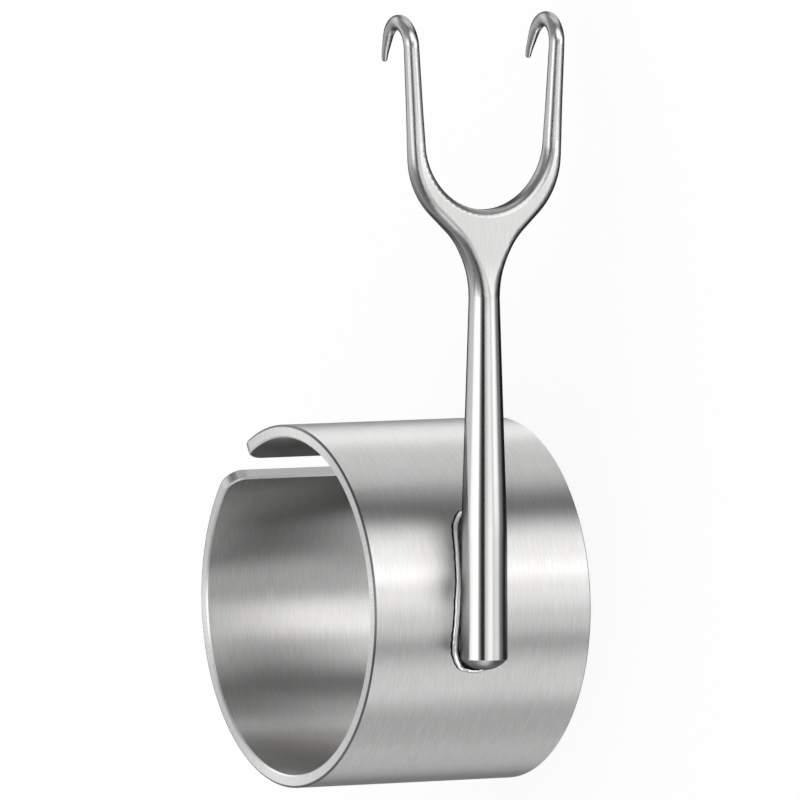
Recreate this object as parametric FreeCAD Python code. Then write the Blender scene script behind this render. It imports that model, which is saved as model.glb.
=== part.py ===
"""Finger-ring double hook: a sprung open band worn on a gloved finger, with a
two-pronged skin hook brazed across its outside.

Units are millimetres. The part stands on one end of its band:
  +Z  along the finger bore, up from the end face that it stands on
  +X  along the shank, towards the hooks
  -Y  the side of the band that carries the shank
The origin is the centre of the finger bore at the lower end face.
"""
import FreeCAD
import Part

import math
import os

from FreeCAD import Vector

# Band: a strip of steel rolled into an open ring
finger_bore_diameter = 20.0
band_wall = 0.75
band_width = 14.55
gap_middle_angle = 38.9          # degrees, from the shank's direction round towards +Y
gap_opening = 2.08               # between the two strip ends, along the middle of the wall
strip_corner_radius = 1.2
band_edge_break = 0.09

# Shank: a round bar, tapering from its tail to the neck below the fork
shank_above_middle = 0.525       # the shank's axis lies this far above the band's mid width
shank_tail_diameter = 2.77
shank_shoulder_diameter = 2.71
neck_diameter = 1.83
tail_overhang = 2.54             # tail edge, back from the line of the bore's axis
tail_dome_height = 0.66
shoulder_from_tail = 7.7
neck_from_tail = 21.3
seat_depth = 0.43                # saddle filed into the shank where it meets the band

# Fork: a flared flat web that splits into two prongs
flare_from_neck = 2.46           # neck to the corner that the flare's round replaces
flare_angle = 47.2
flare_radius = 4.8
shoulder_radius = 4.9
crotch_from_neck = 5.11
web_base_from_neck = 2.87        # where the round-to-flat blend ends
prong_base_from_neck = 9.1       # where the flat web ends and the round prongs begin
web_edge_radius = 0.48

# Prongs and hooks
hook_spread = 9.76               # between the two prongs, at the roots of their hooks
prong_splay_angle = 3.2
prong_base_diameter = 1.06
hook_diameter = 0.91             # from the prong's end to the crown of the bend
hook_point_diameter = 0.34
hook_tip_diameter = 0.18         # of the small flat that a bevel leaves on the point
hook_tip_length = 0.09
hook_root_from_neck = 14.72
rounding_length = 1.8            # over which the web's squared section becomes a round prong
hook_bend_radius = 1.42
hook_bend_angle = 148.0
point_bend_radius = 5.9
point_bend_angle = 17.0
CROWN_ANGLE = 90                 # of the hook's bend, up to where its taper begins
RING_COUNT = 9                   # sections of the hook's loft
LOFT_DEGREE = 3
HALF_TURNS = [0, math.pi]        # where a plain round section is parted into two arcs

# Braze: filler metal between shank and band, with a raised bead at its toe
toe_below_tail = 0.84            # toe, beyond the tail's edge
toe_above_axis = 5.89            # toe, towards the hooks, from the line of the bore's axis
toe_half_width = 1.33            # at its widest
toe_widest_share = 0.19          # of the toe's length, from its foot
toe_foot_half_width = 1.01
toe_foot_share = 0.067
toe_waist_half_width = 0.90
toe_waist_share = 0.71
toe_point_half_width = 0.57
toe_point_share = 0.92
bead_width = 0.30
bead_height = 0.24
bead_edge_break = 0.08

# Places worked out from the sizes above
bore_radius = finger_bore_diameter / 2
band_radius = bore_radius + band_wall
gap_half_angle = math.degrees(gap_opening / (finger_bore_diameter + band_wall))
shank_y = -(band_radius + shank_tail_diameter / 2 - seat_depth)
shank_z = band_width / 2 + shank_above_middle
tail_x = -tail_overhang
neck_x = tail_x + neck_from_tail
web_base_x = neck_x + web_base_from_neck
prong_base_x = neck_x + prong_base_from_neck
hook_root_x = neck_x + hook_root_from_neck
splay = math.radians(prong_splay_angle)
tiny = 1e-4
NEARLY_ROUND = 0.98              # share of a blend section's half-size that its corners may take
BLEND_SHARES = [0.28, 0.55, 0.78]  # of the neck blend's length, where its sections stand


def prong_middle(x):
    """Half the distance between the prongs' centre lines at x."""
    return hook_spread / 2 - (hook_root_x - x) * math.tan(splay)


def web_half_thickness(x):
    """Half the web's thickness at x: it thins evenly from the neck to the prongs."""
    share = (x - neck_x) / prong_base_from_neck
    return (neck_diameter + share * (prong_base_diameter - neck_diameter)) / 2


def in_front_view(x, half_width):
    """A point of the fork's outline, in the plane through the shank's axis."""
    return Vector(x, shank_y, shank_z + half_width)


def line(start, end):
    """A straight edge."""
    return Part.LineSegment(start, end).toShape()


def rounded_corner(before, corner, after, radius):
    """Start, middle and end of the arc that rounds the corner between two lines."""
    back = (before - corner).normalize()
    ahead = (after - corner).normalize()
    half_angle = back.getAngle(ahead) / 2
    bisector = (back + ahead).normalize()
    reach = radius / math.tan(half_angle)
    centre = corner + bisector * (radius / math.sin(half_angle))
    return corner + back * reach, centre - bisector * radius, corner + ahead * reach


def end_cutter(side, end_z):
    """What is cut off one corner of the strip: a square less its rounded corner."""
    radius = strip_corner_radius
    inward = -1 if end_z else 1
    edge_z = end_z * band_width
    corner_drop = radius * (1 - math.sqrt(0.5))
    low = bore_radius - radius
    arc = Part.Arc(Vector(low, 0, edge_z + inward * radius),
                   Vector(low, side * corner_drop, edge_z + inward * corner_drop),
                   Vector(low, side * radius, edge_z))
    outside = Part.makePolygon([Vector(low, side * radius, edge_z),
                                Vector(low, side * radius, edge_z - inward * radius),
                                Vector(low, -side * radius, edge_z - inward * radius),
                                Vector(low, -side * radius, edge_z + inward * radius),
                                Vector(low, 0, edge_z + inward * radius)])
    outline = Part.Wire([arc.toShape()] + outside.Edges)
    cutter = Part.Face(outline).extrude(Vector(band_wall + 2 * radius, 0, 0))
    cutter.rotate(Vector(0, 0, 0), Vector(0, 0, 1), gap_middle_angle + side * gap_half_angle)
    return cutter


def skirts_the_strip(edge):
    """True for an edge of the strip's inner or outer face."""
    span = edge.LastParameter - edge.FirstParameter
    points = [edge.valueAt(edge.FirstParameter + share * span) for share in (0.25, 0.5, 0.75)]
    return any(all(abs(math.hypot(point.x, point.y) - radius) < tiny for point in points)
               for radius in (bore_radius, band_radius))


def make_band():
    """The open ring: a rolled strip with rounded corners and broken edges."""
    section = Part.makePolygon([Vector(bore_radius, 0, 0), Vector(band_radius, 0, 0),
                                Vector(band_radius, 0, band_width), Vector(bore_radius, 0, band_width),
                                Vector(bore_radius, 0, 0)])
    strip = Part.Face(section).revolve(Vector(0, 0, 0), Vector(0, 0, 1), 360 - 2 * gap_half_angle)
    strip.rotate(Vector(0, 0, 0), Vector(0, 0, 1), gap_middle_angle + gap_half_angle)
    for side in (-1, 1):
        for end_z in (0, 1):
            strip = strip.cut(end_cutter(side, end_z))
    return strip.makeChamfer(band_edge_break, [edge for edge in strip.Edges if skirts_the_strip(edge)])


def make_shank():
    """The round bar, turned about its own axis: a domed tail, and a taper from the shoulder on."""
    def station(from_tail, diameter):
        return Vector(tail_x + from_tail, shank_y + diameter / 2, shank_z)
    tail_radius = shank_tail_diameter / 2
    dome_radius = (tail_radius ** 2 + tail_dome_height ** 2) / (2 * tail_dome_height)
    half_angle = math.asin(tail_radius / dome_radius) / 2
    dome_top = station(-tail_dome_height, 0)
    dome_middle = station(dome_radius * (1 - math.cos(half_angle)) - tail_dome_height,
                          2 * dome_radius * math.sin(half_angle))
    tail_edge = station(0, shank_tail_diameter)
    shoulder = station(shoulder_from_tail, shank_shoulder_diameter)
    neck_edge = station(neck_from_tail, neck_diameter)
    neck_middle = station(neck_from_tail, 0)
    profile = Part.Wire([Part.Arc(dome_top, dome_middle, tail_edge).toShape(),
                         line(tail_edge, shoulder), line(shoulder, neck_edge),
                         line(neck_edge, neck_middle), line(neck_middle, dome_top)])
    return Part.Face(profile).revolve(neck_middle, Vector(1, 0, 0), 360)


def outer_outline(side):
    """Edges of the fork's outer outline on one side, from the neck to the prong's base."""
    neck_half = neck_diameter / 2
    prong_edge = prong_middle(prong_base_x) + prong_base_diameter / 2 / math.cos(splay)
    flare_x = neck_x + flare_from_neck
    rise = math.tan(math.radians(flare_angle))
    lean = math.tan(splay)
    run = (prong_edge - neck_half - (prong_base_x - flare_x) * lean) / (rise - lean)
    start = in_front_view(neck_x, side * neck_half)
    flare_corner = in_front_view(flare_x, side * neck_half)
    shoulder_corner = in_front_view(flare_x + run, side * (neck_half + run * rise))
    end = in_front_view(prong_base_x, side * prong_edge)
    flare_start, flare_middle, flare_end = rounded_corner(
        start, flare_corner, shoulder_corner, flare_radius)
    shoulder_start, shoulder_middle, shoulder_end = rounded_corner(
        flare_corner, shoulder_corner, end, shoulder_radius)
    return [line(start, flare_start),
            Part.Arc(flare_start, flare_middle, flare_end).toShape(),
            line(flare_end, shoulder_start),
            Part.Arc(shoulder_start, shoulder_middle, shoulder_end).toShape(),
            line(shoulder_end, end)]


def crotch_outline():
    """Edges of the U between the prongs, from one prong's base to the other's."""
    crotch_x = neck_x + crotch_from_neck
    inner = prong_middle(prong_base_x) - prong_base_diameter / 2 / math.cos(splay)
    radius = ((inner * math.cos(splay) + (crotch_x - prong_base_x) * math.sin(splay))
              / (1 - math.sin(splay)))
    touch_x = crotch_x + radius - radius * math.sin(splay)
    touch_half = radius * math.cos(splay)
    left_touch = in_front_view(touch_x, -touch_half)
    right_touch = in_front_view(touch_x, touch_half)
    return [line(in_front_view(prong_base_x, inner), right_touch),
            Part.Arc(right_touch, in_front_view(crotch_x, 0), left_touch).toShape(),
            line(left_touch, in_front_view(prong_base_x, -inner))]


def is_long_web_edge(edge):
    """True for an edge between the web's flat faces and the walls of its outline."""
    middle = edge.valueAt((edge.FirstParameter + edge.LastParameter) / 2)
    on_flat = abs(abs(middle.y - shank_y) - web_half_thickness(middle.x)) < tiny
    return on_flat and edge.BoundBox.XLength > tiny


def make_web():
    """The flared web and the feet of the prongs, thinning evenly, its long edges rounded."""
    left, right, crotch = outer_outline(-1), outer_outline(1), crotch_outline()
    ends = [line(left[0].Vertexes[0].Point, right[0].Vertexes[0].Point),
            line(right[-1].Vertexes[1].Point, crotch[0].Vertexes[0].Point),
            line(crotch[-1].Vertexes[1].Point, left[-1].Vertexes[1].Point)]
    outline = Part.Wire(Part.__sortEdges__(left + right + crotch + ends))
    neck_half, prong_half = neck_diameter / 2, prong_base_diameter / 2
    slab = Part.Face(outline).extrude(Vector(0, neck_diameter, 0))
    slab.translate(Vector(0, -neck_half, 0))
    side_view = Part.makePolygon([Vector(neck_x, shank_y - neck_half, 0),
                                  Vector(prong_base_x, shank_y - prong_half, 0),
                                  Vector(prong_base_x, shank_y + prong_half, 0),
                                  Vector(neck_x, shank_y + neck_half, 0),
                                  Vector(neck_x, shank_y - neck_half, 0)])
    wedge = Part.Face(side_view).extrude(Vector(0, 0, 2 * shank_z))
    web = slab.common(wedge)
    return web.makeFillet(web_edge_radius, [edge for edge in web.Edges if is_long_web_edge(edge)])


def squared_section(x, half_width, half_thickness, corner):
    """A rounded rectangle across the shank's axis at x, made of four arcs and four lines."""
    flat_y, flat_z = half_thickness - corner, half_width - corner
    slant = corner * math.sqrt(0.5)
    quarters = []
    for side_y, side_z in ((-1, 1), (1, 1), (1, -1), (-1, -1)):
        on_flat = Vector(x, shank_y + side_y * half_thickness, shank_z + side_z * flat_z)
        middle = Vector(x, shank_y + side_y * (flat_y + slant), shank_z + side_z * (flat_z + slant))
        on_wall = Vector(x, shank_y + side_y * flat_y, shank_z + side_z * half_width)
        first, last = (on_flat, on_wall) if side_y != side_z else (on_wall, on_flat)
        quarters.append((first, middle, last))
    edges = []
    for place, (first, middle, last) in enumerate(quarters):
        following = quarters[(place + 1) % len(quarters)][0]
        edges += [Part.Arc(first, middle, last).toShape(), line(last, following)]
    return Part.Wire(edges)


def outline_half_width(x, outline):
    """Half the fork's width at x, read from its outer outline."""
    across = line(in_front_view(x, 0), in_front_view(x, hook_spread))
    return across.distToShape(outline)[1][0][1].z - shank_z


def make_neck_blend(web):
    """The stretch where the round neck becomes the flat web."""
    outline = Part.Wire(outer_outline(1))
    neck_half = neck_diameter / 2
    sections = [squared_section(neck_x, neck_half, neck_half, NEARLY_ROUND * neck_half)]
    for share in BLEND_SHARES:
        x = neck_x + share * web_base_from_neck
        half_thickness = web_half_thickness(x)
        corner = NEARLY_ROUND * half_thickness + share * (web_edge_radius - half_thickness)
        sections.append(squared_section(x, outline_half_width(x, outline), half_thickness, corner))
    sections.append(web.slice(Vector(1, 0, 0), web_base_x)[0])
    return Part.makeLoft(sections, True, False)


def round_section(place, heading, across, radius, angles):
    """A circle across a centre line, as a wire of arcs between the angles given."""
    upright = heading.cross(across)

    def on_circle(angle):
        return place + across * (radius * math.cos(angle)) + upright * (radius * math.sin(angle))
    turn = math.copysign(2 * math.pi, angles[1] - angles[0])
    arcs = []
    for first, last in zip(angles, angles[1:] + [angles[0] + turn]):
        arcs.append(Part.Arc(on_circle(first), on_circle((first + last) / 2), on_circle(last)).toShape())
    return Part.Wire(arcs)


def angles_of(wire, place, heading, across):
    """Angles at which a wire's corners lie round a place, running on in one direction."""
    upright = heading.cross(across)
    angles = []
    for vertex in wire.OrderedVertexes:
        out = vertex.Point - place
        angle = math.atan2(out.dot(upright), out.dot(across))
        if angles:
            angle += 2 * math.pi * round((angles[-1] - angle) / (2 * math.pi))
        angles.append(angle)
    return angles


def on_hook(side, travelled):
    """Place and heading on a hook's centre line, so many millimetres on from its root."""
    along = Vector(math.cos(splay), 0, side * math.sin(splay))
    curl = Vector(0, 1, 0)
    bend_length = hook_bend_radius * math.radians(hook_bend_angle)
    turned = min(travelled, bend_length) / hook_bend_radius
    place = (in_front_view(hook_root_x, side * hook_spread / 2)
             + along * (hook_bend_radius * math.sin(turned))
             + curl * (hook_bend_radius * (1 - math.cos(turned))))
    bent = turned
    turned += max(travelled - bend_length, 0) / point_bend_radius
    place += along * (point_bend_radius * (math.sin(turned) - math.sin(bent)))
    place += curl * (point_bend_radius * (math.cos(bent) - math.cos(turned)))
    return place, along * math.cos(turned) + curl * math.sin(turned)


def make_prong(side, web):
    """One prong and its hook: squared foot, round stem, and the hook curled to a blunt point."""
    root, along = on_hook(side, 0)
    across = Vector(0, 1, 0)
    stem_x = prong_base_x + rounding_length
    stem_foot = root - along * ((hook_root_x - stem_x) / along.x)
    taper = (prong_base_diameter - hook_diameter) / (hook_root_x - prong_base_x)
    stem_radius = (prong_base_diameter - taper * rounding_length) / 2
    hook_radius = hook_diameter / 2

    feet = web.slice(Vector(1, 0, 0), prong_base_x - tiny)
    foot = [wire for wire in feet if side * (wire.BoundBox.Center.z - shank_z) > 0][0]
    foot.translate(Vector(tiny, 0, 0))
    marks = angles_of(foot, foot.BoundBox.Center, along, across)
    rounding = Part.makeLoft([foot, round_section(stem_foot, along, across, stem_radius, marks)],
                             True, True)
    stem = Part.makeCone(stem_radius, hook_radius, (root - stem_foot).Length, stem_foot, along)

    crown = hook_bend_radius * math.radians(CROWN_ANGLE)
    whole = (hook_bend_radius * math.radians(hook_bend_angle)
             + point_bend_radius * math.radians(point_bend_angle))
    rings = []
    for ring in range(RING_COUNT):
        travelled = whole * ring / (RING_COUNT - 1)
        place, heading = on_hook(side, travelled)
        share = max(travelled - crown, 0) / (whole - crown)
        radius = hook_radius + share * (hook_point_diameter / 2 - hook_radius)
        rings.append(round_section(place, heading, along.cross(across), radius, HALF_TURNS))
    hook = Part.makeLoft(rings, True, False, False, LOFT_DEGREE)
    tip = Part.makeCone(hook_point_diameter / 2, hook_tip_diameter / 2, hook_tip_length, place, heading)
    return [rounding, stem, hook, tip]


def band_envelope():
    """The cylinder of the band's outside, which the shank's saddle and the braze follow."""
    return Part.makeCylinder(band_radius, 3 * band_width, Vector(0, 0, -band_width))


def make_forked_hook():
    """Shank, neck, web, prongs and hooks, forged and ground from one bar."""
    web = make_web()
    past_blend = Part.makeBox(hook_spread, neck_diameter, 2 * shank_z,
                              Vector(web_base_x, shank_y - neck_diameter / 2, 0))
    pieces = [make_neck_blend(web), web.common(past_blend)] + make_prong(-1, web) + make_prong(1, web)
    whole = make_shank().fuse(pieces).removeSplitter()
    return whole.cut(band_envelope())


def toe_face(offset):
    """The braze's outline seen from the front, moved outwards by so much from the bead's middle."""
    foot_x = tail_x - toe_below_tail
    length = toe_above_axis - foot_x
    stations = [(toe_foot_share, toe_foot_half_width), (toe_widest_share, toe_half_width),
                (toe_waist_share, toe_waist_half_width), (toe_point_share, toe_point_half_width)]
    upper = [(foot_x + share * length, half + offset) for share, half in stations]
    lower = [(x, -half) for x, half in reversed(upper)]
    points = [(foot_x - offset, 0)] + upper + [(toe_above_axis + offset, 0)] + lower
    curve = Part.BSplineCurve()
    curve.interpolate(Points=[in_front_view(x, half) for x, half in points], PeriodicFlag=True)
    return Part.Face(Part.Wire(curve.toShape()))


def make_braze(hook):
    """Filler that bridges the wedge between band and shank, and the bead along its toe."""
    depth = -shank_y
    filler = toe_face(-bead_width / 2).extrude(Vector(0, depth, 0))
    bead = toe_face(bead_width / 2).extrude(Vector(0, depth, 0)).common(
        Part.makeCylinder(band_radius + bead_height, 2 * shank_z))
    rim = [edge for edge in bead.Edges if is_bead_rim(edge)]
    bead = bead.makeChamfer(bead_edge_break, rim)
    return filler.fuse(bead).cut(hook).cut(band_envelope())


def is_bead_rim(edge):
    """True for the edge where the bead's side meets its outer face."""
    middle = edge.valueAt((edge.FirstParameter + edge.LastParameter) / 2)
    return abs(math.hypot(middle.x, middle.y) - band_radius - bead_height) < tiny


def export(node, shape):
    """Write one node as a STEP file."""
    print(node, "solids", len(shape.Solids), "valid", shape.isValid(), "faces", len(shape.Faces),
          "volume", round(shape.Volume, 3))
    shape.exportStep(os.path.join("parts", node + ".step"))


def main():
    """Build the three pieces and write them."""
    os.makedirs("parts", exist_ok=True)
    hook = make_forked_hook()
    export("finger_band", make_band())
    export("forked_hook", hook)
    export("braze_fillet", make_braze(hook))


main()
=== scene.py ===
"""Looks of the finger-ring double hook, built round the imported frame.

The frame stands on one end of its band: +Z runs along the finger bore, +X along the
shank towards the hooks, and -Y is the side of the band that carries the shank.
"""
import logging
import math
from dataclasses import dataclass
from enum import Enum
from typing import Any

import bpy
import numpy as np
from mathutils import Matrix, Vector


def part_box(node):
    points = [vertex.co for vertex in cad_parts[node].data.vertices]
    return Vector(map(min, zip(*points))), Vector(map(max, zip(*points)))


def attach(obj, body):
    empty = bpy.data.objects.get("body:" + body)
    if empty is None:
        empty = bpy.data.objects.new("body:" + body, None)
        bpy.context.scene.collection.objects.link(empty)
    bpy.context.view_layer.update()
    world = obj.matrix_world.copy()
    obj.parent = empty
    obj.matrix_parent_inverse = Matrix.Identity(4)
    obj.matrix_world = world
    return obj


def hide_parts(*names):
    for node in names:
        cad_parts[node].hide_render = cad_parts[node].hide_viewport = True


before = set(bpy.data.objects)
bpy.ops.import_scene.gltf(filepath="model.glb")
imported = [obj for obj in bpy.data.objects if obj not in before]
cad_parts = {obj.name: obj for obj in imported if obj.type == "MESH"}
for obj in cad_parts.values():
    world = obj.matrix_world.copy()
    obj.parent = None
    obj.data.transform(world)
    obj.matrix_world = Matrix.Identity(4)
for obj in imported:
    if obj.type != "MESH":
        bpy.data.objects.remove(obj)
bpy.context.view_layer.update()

MM = 0.001
WHITE = (1.0, 1.0, 1.0, 1.0)
WARMTH = 0.008
NOISE_MEAN = 0.5
NOISE_ROUGHNESS = 0.6
LOG = logging.getLogger("retractor")


class Node(Enum):
    """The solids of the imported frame."""

    BAND = "finger_band"
    HOOK = "forked_hook"
    BRAZE = "braze_fillet"

    def corners(self) -> tuple[Any, Any]:
        """The solid's lowest and highest corners, in metres."""
        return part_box(self.value)


class Value:
    """One shader value or colour, on which Python's operators build nodes."""

    def __init__(self, tree: bpy.types.NodeTree, socket: bpy.types.NodeSocket) -> None:
        """Wrap a node's output socket.

        Args:
            tree: The node tree that the socket is in.
            socket: The output socket.
        """
        self.tree = tree
        self.socket = socket

    def math(self, operation: str, *operands: Any) -> "Value":
        """Add a Math node.

        Args:
            operation: The node's operation.
            *operands: Values or numbers for its inputs, in order.

        Returns:
            The node's result.
        """
        return add_node(self.tree, "ShaderNodeMath", {"operation": operation}, dict(enumerate(operands)))

    def __add__(self, other: Any) -> "Value":
        """The sum."""
        return self.math("ADD", self, other)

    def __radd__(self, other: Any) -> "Value":
        """The sum, the number first."""
        return self.math("ADD", other, self)

    def __sub__(self, other: Any) -> "Value":
        """The difference."""
        return self.math("SUBTRACT", self, other)

    def __rsub__(self, other: Any) -> "Value":
        """The difference, the number first."""
        return self.math("SUBTRACT", other, self)

    def __mul__(self, other: Any) -> "Value":
        """The product."""
        return self.math("MULTIPLY", self, other)

    def __rmul__(self, other: Any) -> "Value":
        """The product, the number first."""
        return self.math("MULTIPLY", other, self)

    def __truediv__(self, other: Any) -> "Value":
        """The quotient."""
        return self.math("DIVIDE", self, other)

    def __neg__(self) -> "Value":
        """The value with its sign turned."""
        return self.math("MULTIPLY", self, -1.0)

    def wrapped(self) -> "Value":
        """The angle brought to between minus and plus half a turn."""
        return self.math("WRAP", self, math.pi, -math.pi)

    def size(self) -> "Value":
        """The value without its sign."""
        return self.math("ABSOLUTE", self)

    def root(self) -> "Value":
        """The square root."""
        return self.math("SQRT", self)

    def at_least(self, floor: float) -> "Value":
        """The value, or the floor where it is lower."""
        return self.math("MAXIMUM", self, floor)

    def at_most(self, ceiling: float) -> "Value":
        """The value, or the ceiling where it is higher."""
        return self.math("MINIMUM", self, ceiling)

    def step(self, start: float, end: float) -> "Value":
        """A smooth step of the value.

        Args:
            start: Where the step is 0.
            end: Where the step is 1.

        Returns:
            0 on the start's side, 1 from the end on, smooth between them.
        """
        settings = {"interpolation_type": "SMOOTHSTEP"}
        if start < end:
            return add_node(self.tree, "ShaderNodeMapRange", settings,
                            {"Value": self, "From Min": start, "From Max": end})
        return add_node(self.tree, "ShaderNodeMapRange", settings,
                        {"Value": self, "From Min": end, "From Max": start, "To Min": 1.0, "To Max": 0.0})


def between(start: Any, end: Any, share: Value) -> Value:
    """The value that lies a share of the way from start to end."""
    return start + share * (end - start)


def add_node(tree: bpy.types.NodeTree, kind: str, settings: dict[str, Any] | None = None,
             inputs: dict[Any, Any] | None = None, output: int | str = 0) -> Value:
    """Add one node, set it and link it.

    Args:
        tree: The node tree.
        kind: The node's type.
        settings: Attributes to set first.
        inputs: Numbers, colours or values for its inputs, by name or place.
        output: Which output is wanted.

    Returns:
        That output.
    """
    node = tree.nodes.new(kind)
    for name, setting in (settings or {}).items():
        setattr(node, name, setting)
    for key, given in (inputs or {}).items():
        if isinstance(given, Value):
            tree.links.new(given.socket, node.inputs[key])
        else:
            node.inputs[key].default_value = given
    return Value(tree, node.outputs[output])


def split(tree: bpy.types.NodeTree, vector: Value) -> tuple[Value, Value, Value]:
    """The three parts of a vector.

    Args:
        tree: The node tree.
        vector: The vector.

    Returns:
        Its x, y and z.
    """
    parts = tree.nodes.new("ShaderNodeSeparateXYZ")
    tree.links.new(vector.socket, parts.inputs[0])
    return tuple(Value(tree, parts.outputs[axis]) for axis in range(3))


def kinds_of_ray(tree: bpy.types.NodeTree, *kinds: str) -> Value:
    """Which rays a shader answers.

    Args:
        tree: The node tree.
        *kinds: Camera, Glossy or Transmission.

    Returns:
        1 for a ray of one of those kinds, 0 for any other.
    """
    rays = [add_node(tree, "ShaderNodeLightPath", output=f"Is {kind} Ray") for kind in kinds]
    return sum(rays[1:], start=rays[0]).at_most(1.0)


@dataclass(frozen=True)
class Card:
    """A soft light or a dark flag in the studio, as the object sees it.

    Azimuth runs from +X round towards -Y, elevation from the floor's level towards +Z,
    both in degrees, and so does the softness, the width of its edges. The level is
    added to the white of the studio's walls.
    """

    azimuth: float
    half_width: float
    low: float
    high: float
    level: float
    softness: float

    def shade(self, azimuth: Value, elevation: Value) -> Value:
        """Its light in a direction: a smooth window in azimuth times one in elevation.

        Args:
            azimuth: The direction's azimuth in radians.
            elevation: The direction's elevation in radians.

        Returns:
            What it adds to the white there, below 0 for a flag.
        """
        soft = math.radians(self.softness) / 2
        half = math.radians(self.half_width)
        low, high = math.radians(self.low), math.radians(self.high)
        across = (azimuth - math.radians(self.azimuth)).wrapped().size().step(half + soft, half - soft)
        bottom = elevation.step(low - soft, low + soft)
        top = elevation.step(high + soft, high - soft)
        return across * bottom * top * self.level


@dataclass(frozen=True)
class Studio:
    """Plain soft studio light, a white background and a pale floor.

    The walls are white. The metal mirrors that white, with the studio's soft lights
    and dark flags in it, and everything else gets even light. The floor's size is in
    metres.
    """

    cards: tuple[Card, ...] = (
        # All round: a darker upper half, a dark ground and a light straight overhead
        Card(azimuth=90, half_width=200, low=11, high=110, level=-0.68, softness=14),
        Card(azimuth=0, half_width=200, low=-95, high=-50, level=-1.08, softness=16),
        Card(azimuth=0, half_width=200, low=76, high=110, level=1.3, softness=12),
        # Facing the shank
        Card(azimuth=80, half_width=31, low=58, high=110, level=1.93, softness=18),
        Card(azimuth=98, half_width=43, low=28, high=42, level=-1.15, softness=11),
        Card(azimuth=97, half_width=12, low=-18, high=22, level=2.2, softness=14),
        Card(azimuth=94, half_width=21, low=-20, high=20, level=-1.52, softness=12),
        Card(azimuth=77, half_width=12, low=-57, high=-22, level=2.16, softness=16),
        Card(azimuth=109, half_width=12, low=-50, high=-20, level=0.12, softness=12),
        Card(azimuth=90, half_width=15, low=-95, high=-50, level=0.4, softness=16),
        # Towards the hooks
        Card(azimuth=60, half_width=24, low=-95, high=-53, level=0.4, softness=20),
        Card(azimuth=55, half_width=18, low=-28, high=24, level=1.5, softness=12),
        Card(azimuth=29, half_width=15, low=-50, high=20, level=-0.78, softness=14),
        # Towards the shank's tail
        Card(azimuth=136, half_width=15, low=-31, high=9, level=1.58, softness=16),
        Card(azimuth=173, half_width=23, low=-17, high=10, level=1.02, softness=16),
        Card(azimuth=163, half_width=41, low=-50, high=-18, level=-1.29, softness=14),
        # Behind the band
        Card(azimuth=267, half_width=67, low=-48, high=10, level=-0.82, softness=20),
        Card(azimuth=217, half_width=12, low=-51, high=-22, level=0.88, softness=12),
        Card(azimuth=312, half_width=14, low=-52, high=-20, level=2.32, softness=14),
        Card(azimuth=268, half_width=18, low=14, high=80, level=0.65, softness=16),
        Card(azimuth=300, half_width=15, low=-2, high=42, level=1.0, softness=14),
        Card(azimuth=226, half_width=24, low=4, high=60, level=0.3, softness=16),
    )
    darkest: float = 0.03
    floor_size: float = 4.0
    floor_paleness: float = 0.97
    floor_shade: float = 0.13

    def build_world(self) -> None:
        """Fill the world with the studio's white, its soft lights and its flags."""
        world = bpy.data.worlds.new("studio")
        bpy.context.scene.world = world
        world.use_nodes = True
        world.cycles.sampling_method = "NONE"
        tree = world.node_tree
        tree.nodes.clear()
        x, y, z = split(tree, add_node(tree, "ShaderNodeTexCoord", output="Generated"))
        azimuth = add_node(tree, "ShaderNodeMath", {"operation": "ARCTAN2"}, {0: -y, 1: x})
        elevation = add_node(tree, "ShaderNodeMath", {"operation": "ARCSINE"}, {0: z})
        mirrored: Any = 1.0
        for card in self.cards:
            mirrored = card.shade(azimuth, elevation) + mirrored
        seen = between(mirrored.at_least(self.darkest), 1.0, kinds_of_ray(tree, "Camera"))
        walls = add_node(tree, "ShaderNodeBackground", None, {"Color": WHITE, "Strength": seen})
        even = add_node(tree, "ShaderNodeBackground", None, {"Color": WHITE, "Strength": 1.0})
        sees_walls = kinds_of_ray(tree, "Camera", "Glossy", "Transmission")
        shown = add_node(tree, "ShaderNodeMixShader", None, {0: sees_walls, 1: even, 2: walls})
        out = tree.nodes.new("ShaderNodeOutputWorld")
        tree.links.new(shown.socket, out.inputs["Surface"])

    def build_floor(self) -> None:
        """Lay a pale floor that shows white and keeps a faint shadow."""
        half = self.floor_size / 2
        corners = [(-half, -half, 0), (half, -half, 0), (half, half, 0), (-half, half, 0)]
        mesh = bpy.data.meshes.new("floor")
        mesh.from_pydata(corners, [], [(0, 1, 2, 3)])
        floor = bpy.data.objects.new("floor", mesh)
        bpy.context.scene.collection.objects.link(floor)
        floor.visible_glossy = False
        material = bpy.data.materials.new("pale_floor")
        material.use_nodes = True
        tree = material.node_tree
        tree.nodes.clear()
        pale = add_node(tree, "ShaderNodeBsdfDiffuse", None, {"Color": plain_grey(self.floor_paleness)})
        white = add_node(tree, "ShaderNodeEmission", None, {"Color": WHITE, "Strength": 1.0})
        seen = kinds_of_ray(tree, "Camera", "Glossy", "Transmission") * (1 - self.floor_shade)
        shown = add_node(tree, "ShaderNodeMixShader", None, {0: seen, 1: pale, 2: white})
        out = tree.nodes.new("ShaderNodeOutputMaterial")
        tree.links.new(shown.socket, out.inputs["Surface"])
        mesh.materials.append(material)

    def build(self) -> None:
        """Set up the light and the floor."""
        self.build_world()
        self.build_floor()


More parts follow.
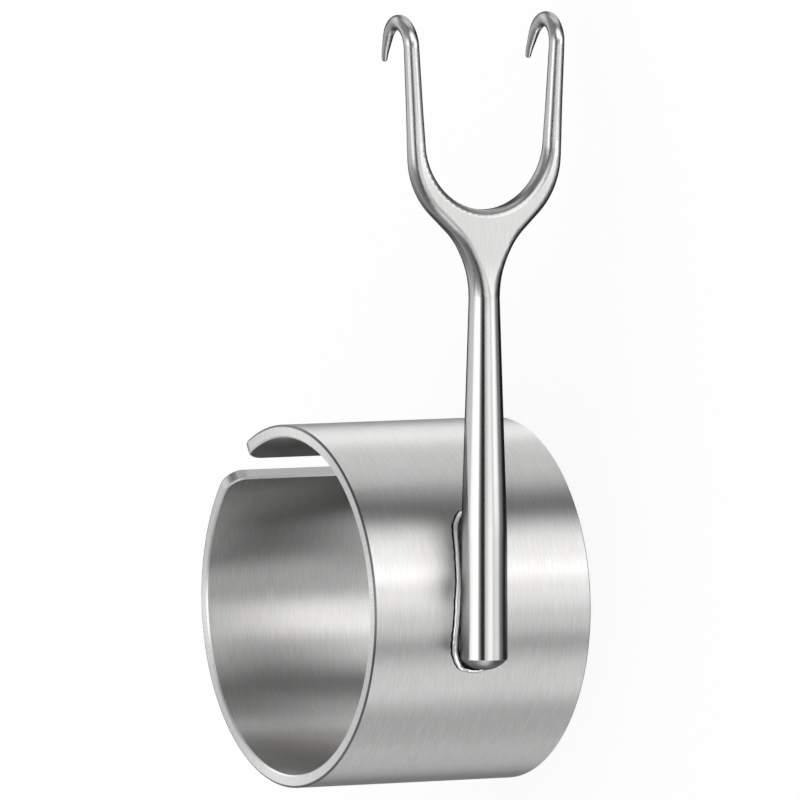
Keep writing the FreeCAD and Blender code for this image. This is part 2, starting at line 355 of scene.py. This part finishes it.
@dataclass(frozen=True)
class LongLens:
    """The camera at the photograph's viewing angle.

    It faces the shank's side, turned by an angle towards the band's upper end and
    tilted by one towards the hooks, both in degrees. The distance and the reach of
    its view are in metres, the aim's height, its shifts and the sensor in millimetres.
    """

    turn_from_side: float = 29.12
    tilt: float = 3.8
    distance: float = 1.0
    aim_height: float = 7.2
    shift_right: float = 0.237
    shift_up: float = 11.959
    pixels_per_mm: float = 16.858
    picture_side: int = 800
    sensor_width: float = 36.0
    nearest: float = 0.1
    farthest: float = 10.0

    def build(self) -> None:
        """Place the camera and make it the scene's."""
        turn, tilt = math.radians(self.turn_from_side), math.radians(self.tilt)
        toward = Vector((math.sin(tilt), -math.cos(turn) * math.cos(tilt), math.sin(turn) * math.cos(tilt)))
        up = Vector((math.cos(tilt), math.cos(turn) * math.sin(tilt), -math.sin(turn) * math.sin(tilt)))
        right = up.cross(toward)
        target = Vector((0, 0, self.aim_height * MM)) + (right * self.shift_right + up * self.shift_up) * MM
        data = bpy.data.cameras.new("camera")
        camera = bpy.data.objects.new("camera", data)
        bpy.context.scene.collection.objects.link(camera)
        rotation = Matrix((right, up, toward)).transposed().to_4x4()
        camera.matrix_world = Matrix.Translation(target + toward * self.distance) @ rotation
        view_width = self.picture_side / self.pixels_per_mm * MM
        data.sensor_width = self.sensor_width
        data.lens = self.sensor_width * self.distance / view_width
        data.clip_start, data.clip_end = self.nearest, self.farthest
        bpy.context.scene.camera = camera


def plain_grey(level: float) -> tuple[float, float, float, float]:
    """A neutral colour of that level, as a socket takes it."""
    return level, level, level, 1.0


def steel_grey(tree: bpy.types.NodeTree, level: Value) -> Value:
    """Steel's colour at that level, a trace warmer than grey.

    Args:
        tree: The node tree.
        level: The level.

    Returns:
        The colour.
    """
    return add_node(tree, "ShaderNodeCombineColor", None,
                    {0: level * (1 + WARMTH), 1: level, 2: level * (1 - WARMTH)})


def new_metal(name: str, constants: dict[str, Any]) -> tuple[bpy.types.Material, bpy.types.Node]:
    """Start a metal.

    Args:
        name: The material's name.
        constants: What is the same all over the surface, by socket.

    Returns:
        The material and its shader.
    """
    material = bpy.data.materials.new(name)
    material.use_nodes = True
    shader = material.node_tree.nodes["Principled BSDF"]
    shader.inputs["Metallic"].default_value = 1.0
    for socket, value in constants.items():
        shader.inputs[socket].default_value = value
    return material, shader


def finish_metal(tree: bpy.types.NodeTree, shader: bpy.types.Node, level: Value, roughness: Value,
                 relief: Value) -> None:
    """Link what varies over a metal to its shader.

    Args:
        tree: The node tree.
        shader: The metal's shader.
        level: How bright the metal is.
        roughness: Its roughness.
        relief: Height of its fine relief in metres.
    """
    bump = add_node(tree, "ShaderNodeBump", None, {"Strength": 1.0, "Distance": 1.0, "Height": relief})
    tree.links.new(steel_grey(tree, level).socket, shader.inputs["Base Color"])
    tree.links.new(roughness.socket, shader.inputs["Roughness"])
    tree.links.new(bump.socket, shader.inputs["Normal"])


def noise(tree: bpy.types.NodeTree, x: Any, y: Any, z: Any, detail: float = 2.0) -> Value:
    """Smooth noise of three coordinates.

    Args:
        tree: The node tree.
        x: First coordinate, in sizes of one blot.
        y: Second coordinate.
        z: Third coordinate.
        detail: How many finer layers it has.

    Returns:
        The noise, 0 on average and within about half a unit of it.
    """
    place = add_node(tree, "ShaderNodeCombineXYZ", None, {0: x, 1: y, 2: z})
    blots = add_node(tree, "ShaderNodeTexNoise", {"noise_dimensions": "3D"},
                     {"Vector": place, "Scale": 1.0, "Detail": detail, "Roughness": NOISE_ROUGHNESS})
    return blots - NOISE_MEAN


@dataclass(frozen=True)
class BrushedBand:
    """Finish of the band: fine brushing round it, brighter ground end faces, and painted light: a dark line
    on the outer edges, a bright line on the inner edges and shade inside near the gap.

    Lengths are in millimetres. Each pair says where a mask is 0 and where it is 1:
    flat_end by how squarely a face looks along the bore, broken_from and broken_to by
    how far a broken edge looks away from the bore's axis or towards it, inside by how
    far a wall looks towards it, lip by how far in from the outside a place on the rim
    lies, and painted_gap_shade by how far a place lies from the gap's middle, in radians.
    """

    steel: float = 0.62
    rim_steel: float = 0.78
    # Level of the painted shade on the inside near the gap
    painted_gap_steel: float = 0.28
    painted_edge_shade: float = 0.2
    painted_edge_highlight: float = 1.0
    roughness: float = 0.36
    roughness_spread: float = 0.1
    anisotropic: float = 0.95
    grain_turn: float = 0.25
    line_width: float = 0.045
    line_length: float = 1.3
    line_contrast: float = 0.65
    line_depth: float = 0.0018
    cloud_size: float = 4.0
    cloud_contrast: float = 0.05
    flat_end: tuple[float, float] = (0.8, 0.95)
    broken_from: tuple[float, float] = (0.3, 0.5)
    broken_to: tuple[float, float] = (0.95, 0.85)
    inside: tuple[float, float] = (0.0, 0.5)
    lip: tuple[float, float] = (0.17, 0.102)
    painted_gap_shade: tuple[float, float] = (0.52, 0.26)

    def broken_edge(self, facing: Value) -> Value:
        """Mask of the broken edges that look one way: turned that way, but less than a wall.

        Args:
            facing: How far the surface looks that way, from -1 to 1.

        Returns:
            1 on such an edge.
        """
        return facing.step(*self.broken_from) * facing.step(*self.broken_to)

    def material(self, radius: float, gap_angle: float) -> bpy.types.Material:
        """The band's material.

        The brushing is noise on the angle round the bore and the height: long blots
        along the angle, narrow ones along the height. On the end faces it is short
        lines across the rim. The outer broken edge and the rim's lip beside it carry a
        painted dark line and the inner broken edge a painted highlight, told by how far
        the surface faces away from the bore's axis. The inside near the gap is darker
        with painted shade. The angle starts at the gap, where no steel shows a seam.

        Args:
            radius: The band's outside radius in metres.
            gap_angle: Where the gap's middle lies, in radians from +X towards +Y.

        Returns:
            The material.
        """
        material, shader = new_metal("band_steel", {"Anisotropic": self.anisotropic,
                                                    "Anisotropic Rotation": self.grain_turn})
        tree = material.node_tree
        x, y, z = split(tree, add_node(tree, "ShaderNodeTexCoord", output="Object"))
        cosine, sine = math.cos(gap_angle), math.sin(gap_angle)
        from_gap = {0: x * sine + y * -cosine, 1: x * -cosine + y * -sine}
        around = add_node(tree, "ShaderNodeMath", {"operation": "ARCTAN2"}, from_gap) * radius
        away = (x * x + y * y).root()
        normal_x, normal_y, normal_z = split(tree, add_node(tree, "ShaderNodeTexCoord", output="Normal"))
        outward = (normal_x * x + normal_y * y) / away

        wide, long, cloud = self.line_width * MM, self.line_length * MM, self.cloud_size * MM
        lines = noise(tree, around / long, z / wide, away / wide, detail=3.0)
        cross_lines = noise(tree, around / wide, z / long, away / long)
        clouds = noise(tree, around / cloud, z / cloud, away / cloud)
        rim = normal_z.size().step(*self.flat_end)
        brushing = between(lines, cross_lines, rim)

        shade_start, shade_full = (radius * (math.pi - from_middle) for from_middle in self.painted_gap_shade)
        lip_start, lip_full = (radius - inside * MM for inside in self.lip)
        # Painted shade: the inside of the band near the gap is darker, standing in for the shade the band
        # casts on itself there
        painted_gap_mask = around.size().step(shade_start, shade_full) * (-outward).step(*self.inside)
        steel = between(self.steel, self.painted_gap_steel, painted_gap_mask)
        steel = between(steel, self.rim_steel, rim)
        # Painted shade on the rim's outer lip and outer broken edge, painted highlight on the inner broken
        # edge
        steel = between(steel, self.painted_edge_shade, rim * away.step(lip_start, lip_full))
        steel = between(steel, self.painted_edge_shade, self.broken_edge(outward))
        steel = between(steel, self.painted_edge_highlight, self.broken_edge(-outward))
        finish_metal(tree, shader,
                     steel * (1 + self.line_contrast * brushing + self.cloud_contrast * clouds),
                     self.roughness + self.roughness_spread * brushing,
                     brushing * (self.line_depth * MM))
        return material


@dataclass(frozen=True)
class HookPolish:
    """Finish of the hook: polished bar, brushed lengthwise on the fork's flat web.

    Lengths are in millimetres. The edge tint darkens the steel where it turns away.
    The shank's taper bends at its shoulder by the shoulder's bend, a slope.
    """

    steel: float = 0.56
    edge_tint: float = 0.15
    web_steel: float = 0.42
    painted_tail_shade: float = 0.33
    tail_roughness: float = 0.36
    prong_roughness: float = 0.27
    shank_roughness: float = 0.14
    web_roughness: float = 0.3
    roughness_spread: float = 0.04
    web_fade: float = 2.0
    tail_fade: float = 0.05
    line_width: float = 0.09
    line_length: float = 3.0
    line_contrast: float = 0.3
    line_depth: float = 0.0006
    shank_lines: float = 0.06
    shoulder_bend: float = 0.0285
    shoulder_blend: float = 3.0

    def material(self, web_start: float, web_end: float, tail_end: float,
                 shoulder: float) -> bpy.types.Material:
        """The hook's material, whose lines are noise drawn out along the shank.

        The polish softens the bend at the shoulder: a bump lowers the steel by the bend
        times the blend's length times the square of the share of the blend that is
        left, so that the slope changes evenly along it.

        Args:
            web_start: Where along X the flat web begins, in metres.
            web_end: Where it ends.
            tail_end: Where the domed tail ends, which is ground matt and darker with painted shade.
            shoulder: Where the shank's taper bends.

        Returns:
            The material.
        """
        material, shader = new_metal("hook_steel", {"Specular Tint": plain_grey(self.edge_tint)})
        tree = material.node_tree
        x, y, z = split(tree, add_node(tree, "ShaderNodeTexCoord", output="Object"))
        wide, long = self.line_width * MM, self.line_length * MM
        lines = noise(tree, x / long, y / wide, z / wide, detail=3.0)

        fade, tail_fade = self.web_fade * MM, self.tail_fade * MM
        prongs = x.step(web_end - fade, web_end + fade)
        web = x.step(web_start - fade, web_start + fade) * x.step(web_end + fade, web_end - fade)
        tail = x.step(tail_end + tail_fade, tail_end - tail_fade)
        # The domed tail is darker: painted shade where it faces down towards the band
        steel = self.steel + web * (self.web_steel - self.steel) + tail * (self.painted_tail_shade - self.steel)
        roughness = (self.shank_roughness + web * (self.web_roughness - self.shank_roughness)
                     + prongs * (self.prong_roughness - self.shank_roughness)
                     + tail * (self.tail_roughness - self.shank_roughness))

        strength = between(self.shank_lines, 1.0, web)
        blend = self.shoulder_blend * MM
        left = (0.5 - (x - shoulder).size() / (2 * blend)).at_least(0.0)
        finish_metal(tree, shader,
                     steel * (1 + self.line_contrast * strength * lines),
                     roughness + self.roughness_spread * lines,
                     lines * strength * (self.line_depth * MM) - left * left * (self.shoulder_bend * blend))
        return material


@dataclass(frozen=True)
class BrightBraze:
    """Finish of the braze: bright filler left as it froze, with painted shade in its creases and under the
    shank.

    Lengths are in millimetres. The painted shade goes from where it darkens the metal to where
    the metal is unshaded, told by how far up the bead a point lies, with a ragged border.
    """

    metal: float = 1.0
    # Near-black level of the painted shade in the creases and under the shank
    painted_crease_shade: float = 0.012
    roughness: float = 0.4
    crease_shade_roughness: float = 0.6
    edge_tint: float = 0.4
    lump_size: float = 0.3
    lump_length: float = 0.6
    lump_depth: float = 0.006
    lump_contrast: float = 0.3
    painted_shade_border: tuple[float, float] = (0.12, 0.55)
    raggedness: float = 0.2

    def material(self) -> bpy.types.Material:
        """The braze's material: soft lumps from noise, darkened low down by painted shade.

        The pieces carry how far up the bead each point lies as the attribute crest.

        Returns:
            The material.
        """
        material, shader = new_metal("braze_metal", {"Specular Tint": plain_grey(self.edge_tint)})
        tree = material.node_tree
        x, y, z = split(tree, add_node(tree, "ShaderNodeTexCoord", output="Object"))
        lump, long = self.lump_size * MM, self.lump_length * MM
        lumps = noise(tree, x / long, y / lump, z / lump)
        crest = add_node(tree, "ShaderNodeAttribute", {"attribute_name": "crest"}, output="Fac")
        # Painted shade: the skirt, the bead's low flanks and the filler turn near black where shade falls
        # in the creases
        unshaded = (crest + self.raggedness * lumps).step(*self.painted_shade_border)
        bright = self.metal * (1 + self.lump_contrast * lumps)
        finish_metal(tree, shader,
                     between(self.painted_crease_shade, bright, unshaded),
                     between(self.crease_shade_roughness, self.roughness, unshaded),
                     lumps * (self.lump_depth * MM))
        return material


def dress(node: Node, material: bpy.types.Material) -> None:
    """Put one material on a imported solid.

    Args:
        node: The solid.
        material: Its material.
    """
    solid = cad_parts[node.value]
    for slot in solid.material_slots:
        slot.material = material
    if not solid.material_slots:
        solid.data.materials.append(material)
    LOG.info("dressed %s", node.value)


def band_radius() -> float:
    """The band's outside radius in metres."""
    return Node.BAND.corners()[1][0]


@dataclass(frozen=True)
class Band:
    """The open ring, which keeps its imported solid. The gap's angle is in degrees."""

    finish: BrushedBand = BrushedBand()
    gap_angle: float = 38.9

    def build(self) -> None:
        """Give the band its steel."""
        dress(Node.BAND, self.finish.material(band_radius(), math.radians(self.gap_angle)))


@dataclass(frozen=True)
class ForkedHook:
    """The shank, fork and hooks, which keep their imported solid.

    Lengths are in millimetres, measured from the top of the domed tail.
    """

    finish: HookPolish = HookPolish()
    dome_end: float = 0.66
    shoulder: float = 8.36
    web_start: float = 22.5
    web_end: float = 29.5

    def build(self) -> None:
        """Give the hook its steel."""
        tail = Node.HOOK.corners()[0][0]
        places = (self.web_start, self.web_end, self.dome_end, self.shoulder)
        dress(Node.HOOK, self.finish.material(*(tail + place * MM for place in places)))


def ring_mesh(name: str, points: np.ndarray, crest: np.ndarray, closed_along: bool) -> bpy.types.Object:
    """Make a smooth mesh of a grid of points whose last point across joins the first.

    The faces look the way of the step along crossed with the step across.

    Args:
        name: The piece's name.
        points: Places in metres, shaped (along, across, 3).
        crest: How far up the bead each place lies, from 0 to 1, (along, across).
        closed_along: Whether the last row joins the first. If not, each end row is
            closed by a pole at its middle.

    Returns:
        The object, at the origin.
    """
    rows, columns = points.shape[:2]
    index = np.arange(rows * columns).reshape(rows, columns)
    vertices, heights = points.reshape(-1, 3), crest.reshape(-1)
    here, ahead = (index, np.roll(index, -1, axis=0)) if closed_along else (index[:-1], index[1:])
    corners = [here, ahead, np.roll(ahead, -1, axis=1), np.roll(here, -1, axis=1)]
    faces = np.stack(corners, axis=-1).reshape(-1, 4).tolist()
    if not closed_along:
        first_pole, last_pole = len(vertices), len(vertices) + 1
        vertices = np.concatenate([vertices, [points[0].mean(axis=0), points[-1].mean(axis=0)]])
        heights = np.concatenate([heights, [crest[0].mean(), crest[-1].mean()]])
        for pole, row, beside in ((first_pole, index[0], np.roll(index[0], -1)),
                                  (last_pole, np.roll(index[-1], -1), index[-1])):
            faces += np.stack([row, beside, np.full(columns, pole)], axis=-1).tolist()
    mesh = bpy.data.meshes.new(name)
    mesh.from_pydata(vertices.tolist(), [], faces)
    mesh.polygons.foreach_set("use_smooth", np.ones(len(mesh.polygons), dtype=bool))
    mesh.attributes.new("crest", "FLOAT", "POINT").data.foreach_set("value", heights.astype(np.float32))
    mesh.update()
    piece = bpy.data.objects.new(name, mesh)
    bpy.context.scene.collection.objects.link(piece)
    return piece


@dataclass(frozen=True)
class Waves:
    """Slow uneven waves round a closed line.

    Each count is how many times one sine runs round, the later ones smaller. The phase
    shifts them against each other, and the size is about how far they swing.
    """

    counts: tuple[int, ...]
    phase: float
    size: float

    def swing(self, steps: int) -> np.ndarray:
        """The waves: sines of the counts, each over its place in line, over the sum of those shares.

        Args:
            steps: How many points the line has.

        Returns:
            One value a point, within about the size of 0.
        """
        turn = np.arange(steps) / steps * 2 * math.pi
        places = range(1, len(self.counts) + 1)
        sines = [np.sin(count * turn + self.phase * place) / place
                 for count, place in zip(self.counts, places)]
        return self.size * np.sum(sines, axis=0) / sum(1 / place for place in places)


@dataclass(frozen=True)
class BrazeFillet:
    """The filler between shank and band, and the uneven bead along its toe.

    Lengths are in millimetres. Each station of the toe gives its place along X, its
    place off the shank's axis along Z, and the bead's width there. They start at the
    foot below the shank's tail and go up the side that the camera sees.

    The bead's skirt, dip, lift at the hump's edge and foot are shares of its half width
    or height. Each level of the filler gives its share of the height and how much it
    narrows, which counts fully across the shank and less along it. The filler's painted
    shade thins out from the band up to the reach of that shade.
    """

    finish: BrightBraze = BrightBraze()
    shank_radius: float = 1.385
    stations: tuple[tuple[float, float, float], ...] = (
        (-3.38, -0.30, 0.16),
        (-3.33, 0.22, 0.18),
        (-3.12, 0.74, 0.25),
        (-2.70, 1.09, 0.35),
        (-2.10, 1.30, 0.42),
        (-1.40, 1.35, 0.41),
        (-0.31, 1.29, 0.40),
        (0.86, 1.20, 0.39),
        (2.02, 1.06, 0.38),
        (3.17, 0.93, 0.38),
        (4.30, 0.81, 0.41),
        (5.10, 0.60, 0.44),
        (5.58, 0.29, 0.40),
        (5.80, -0.06, 0.30),
        (5.50, -0.42, 0.32),
        (4.50, -0.72, 0.36),
        (3.20, -0.92, 0.33),
        (1.80, -1.08, 0.35),
        (0.40, -1.18, 0.34),
        (-1.00, -1.30, 0.37),
        (-2.20, -1.34, 0.34),
        (-2.95, -1.20, 0.22),
        (-3.31, -0.84, 0.13),
    )
    steps_between: int = 24
    line_waves: Waves = Waves(counts=(13, 29, 47), phase=1.3, size=0.018)
    width_waves: Waves = Waves(counts=(11, 31, 53), phase=0.4, size=0.07)
    height_waves: Waves = Waves(counts=(9, 23, 41), phase=2.1, size=0.08)
    bead_height: float = 0.24
    hump_steps: int = 17
    hump_fullness: float = 0.9
    hump_edge: float = 0.1
    skirt: float = 1.55
    skirt_dip: float = 0.06
    foot_depth: float = 0.3
    filler_levels: tuple[tuple[float, float], ...] = (
        (-0.05, 0.0),
        (0.0, 0.04),
        (0.25, 0.14),
        (0.55, 0.2),
        (1.0, 0.25),
    )
    narrowing_across: float = 0.6
    narrowing_along: float = 0.15
    tail_clearance: float = 0.8
    tail_rise: float = 0.5
    filler_tuck: float = 0.1
    filler_crest: tuple[float, float] = (0.1, 0.55)
    painted_shade_reach: float = 1.5

    def toe(self) -> tuple[np.ndarray, np.ndarray]:
        """Middle line and width of the bead, seen from the front.

        A closed smooth curve through the stations: a periodic cubic whose slope at
        each station is half the step between its neighbours.

        Returns:
            Places along X and off the shank's axis along Z, (around, 2), and widths,
            (around,), in metres.
        """
        knots = np.array(self.stations) * MM
        slopes = (np.roll(knots, -1, axis=0) - np.roll(knots, 1, axis=0)) / 2
        place = np.arange(len(knots) * self.steps_between) / self.steps_between
        span = place.astype(int)
        t = (place - span)[:, None]
        ahead = (span + 1) % len(knots)
        curve = ((2 * t ** 3 - 3 * t ** 2 + 1) * knots[span] + (t ** 3 - 2 * t ** 2 + t) * slopes[span]
                 + (3 * t ** 2 - 2 * t ** 3) * knots[ahead] + (t ** 3 - t ** 2) * slopes[ahead])
        return curve[:, :2], curve[:, 2]

    def on_band(self, x: np.ndarray, off: np.ndarray, out: np.ndarray) -> np.ndarray:
        """Places over the band's outer face.

        The angle round the bore is the one whose sine is the place along X over the
        band's radius, and the place lies that way, by the radius and the height.

        Args:
            x: Place along X at the band's face.
            off: Place along Z from the shank's axis.
            out: Height over the face, outwards from the bore's axis.

        Returns:
            The places, with one more dimension of 3.
        """
        hook_low, hook_high = Node.HOOK.corners()
        shank_height = (hook_low[2] + hook_high[2]) / 2
        angle = np.arcsin(x / band_radius())
        reach = band_radius() + out
        return np.stack([reach * np.sin(angle), -reach * np.cos(angle), shank_height + off], axis=-1)

    def build_bead(self) -> bpy.types.Object:
        """The bead: a rounded hump carried along the toe.

        Its section is a half circle stretched to the bead's width and height, with a
        thin skirt each side that runs down into the band, and a flat foot inside the
        band's wall. Its width, height and line wave slowly.

        Returns:
            The piece.
        """
        line, width = self.toe()
        step = np.roll(line, -1, axis=0) - np.roll(line, 1, axis=0)
        outward = np.stack([-step[:, 1], step[:, 0]], 1) / np.linalg.norm(step, axis=1)[:, None]
        line = line + outward * (self.line_waves.swing(len(line)) * MM)[:, None]
        half = width / 2 * (1 + self.width_waves.swing(len(line)))
        swell = 1 - self.height_waves.size + self.height_waves.swing(len(line))
        height = self.bead_height * MM * width / width.max() * swell

        turn = np.linspace(0, math.pi, self.hump_steps)
        hump = self.hump_edge + (1 - self.hump_edge) * np.sin(turn) ** self.hump_fullness
        share = np.concatenate([[-self.skirt], -np.cos(turn), [self.skirt, 1.0, -1.0]])
        lift = np.concatenate([[-self.skirt_dip], hump, [-self.skirt_dip], [-self.foot_depth] * 2])
        reach = half[:, None] * share[None]
        x = line[:, 0, None] + outward[:, 0, None] * reach
        off = line[:, 1, None] + outward[:, 1, None] * reach
        # The skirt and foot get crest 0, which carries the painted shade along the bead's toe
        crest = np.broadcast_to(np.clip(lift, 0, 1), reach.shape)
        return ring_mesh("braze_bead", self.on_band(x, off, height[:, None] * lift[None]), crest, True)

    def build_filler(self) -> bpy.types.Object:
        """The filler: from just inside the band's face up into the shank, narrowing on the way.

        Round the toe's line it rises by shares of the height from the band's face to
        the shank's axis, and past the shank's tail it stays low under the dome: there
        the height is multiplied by a smooth step along X.

        Returns:
            The piece.
        """
        line = self.toe()[0]
        x, off = line[:, 0], line[:, 1]
        hook_low = Node.HOOK.corners()[0]
        axis_depth = -(hook_low[1] + self.shank_radius * MM)
        face_depth = np.sqrt(band_radius() ** 2 - x ** 2)
        past_tail = hook_low[0] + self.tail_clearance * MM
        under = np.clip((x - past_tail) / (self.tail_rise * MM), 0, 1)
        top = (axis_depth - face_depth) * under ** 2 * (3 - 2 * under) + self.filler_tuck * MM

        rises, narrowing = np.array(self.filler_levels).T[:, :, None]
        levels_x = x.mean() + (x - x.mean()) * (1 - narrowing * self.narrowing_along)
        levels_off = off * (1 - narrowing * self.narrowing_across)
        heights = rises * top
        # The filler's low crest carries painted shade, thinning out up towards the shank
        low_crest, high_crest = self.filler_crest
        crest = low_crest + (high_crest - low_crest) * np.clip(heights / (self.painted_shade_reach * MM), 0, 1)
        return ring_mesh("braze_filler", self.on_band(levels_x, levels_off, heights), crest, False)

    def build(self) -> None:
        """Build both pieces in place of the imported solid."""
        material = self.finish.material()
        for piece in (self.build_filler(), self.build_bead()):
            piece.data.materials.append(material)
            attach(piece, "root")
            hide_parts(Node.BRAZE.value)
            LOG.info("built %s", piece.name)


def main() -> None:
    """Build the studio, the camera and the pieces in order."""
    bpy.context.scene.view_settings.view_transform = "Standard"
    Studio().build()
    LongLens().build()
    Band().build()
    ForkedHook().build()
    BrazeFillet().build()


if __name__ == "__main__":
    logging.basicConfig(level=logging.INFO)
    main()
